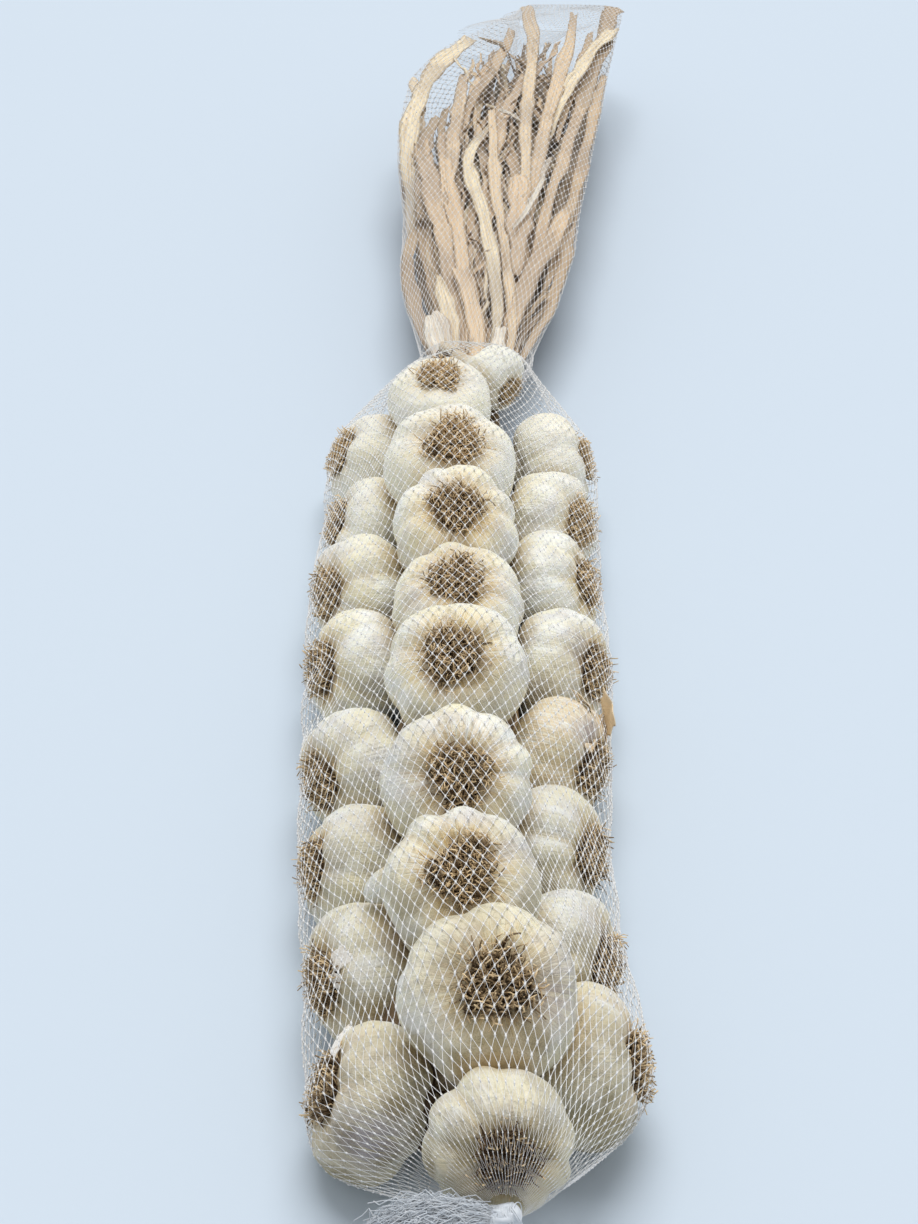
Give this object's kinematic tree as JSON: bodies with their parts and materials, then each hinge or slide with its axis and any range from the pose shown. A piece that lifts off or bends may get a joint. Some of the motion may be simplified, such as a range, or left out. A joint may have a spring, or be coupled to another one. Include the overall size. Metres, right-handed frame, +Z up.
{
  "type": "garlic braid",
  "caption": "Braid of dried garlic: heads set roots outward in three rows on a plaited stem, with a fan of dry leaves, inside a tight knitted net sleeve tied at one end.",
  "frame": {"origin": "middle of the bounding box across and along, at the surface that the braid lies on", "axes": "+Y along the braid from the tied end of the net to the leaf tips, +Z up out of the middle row of heads, +X across"},
  "size_m": [0.1578, 0.9834, 0.0897],
  "materials": {
    "skin": "dry papery skin, satin",
    "stem": "dry fibrous stem, matt",
    "leaf": "dry leaf, matt",
    "net": "open knitted net, see-through",
    "net_gathered": "gathered knitted net, soft"
  },
  "bodies": {
    "root": {"head_end": "skin", "head_centre_1": "skin", "head_centre_2": "skin", "head_centre_3": "skin", "head_centre_4": "skin", "head_centre_5": "skin", "head_centre_6": "skin", "head_centre_7": "skin", "head_centre_8": "skin", "head_left_1": "skin", "head_left_2": "skin", "head_left_3": "skin", "head_left_4": "skin", "head_left_5": "skin", "head_left_6": "skin", "head_left_7": "skin", "head_left_8": "skin", "head_right_1": "skin", "head_right_2": "skin", "head_right_3": "skin", "head_right_4": "skin", "head_right_5": "skin", "head_right_6": "skin", "head_right_7": "skin", "head_right_8": "skin", "head_small": "skin", "plait_strand_1": "stem", "plait_strand_2": "stem", "plait_strand_3": "stem", "leaf_bundle": "leaf", "net_sleeve_heads": "net", "net_sleeve_leaves": "net", "net_knot": "net_gathered", "net_tail": "net_gathered"}
  },
  "joints": []
}
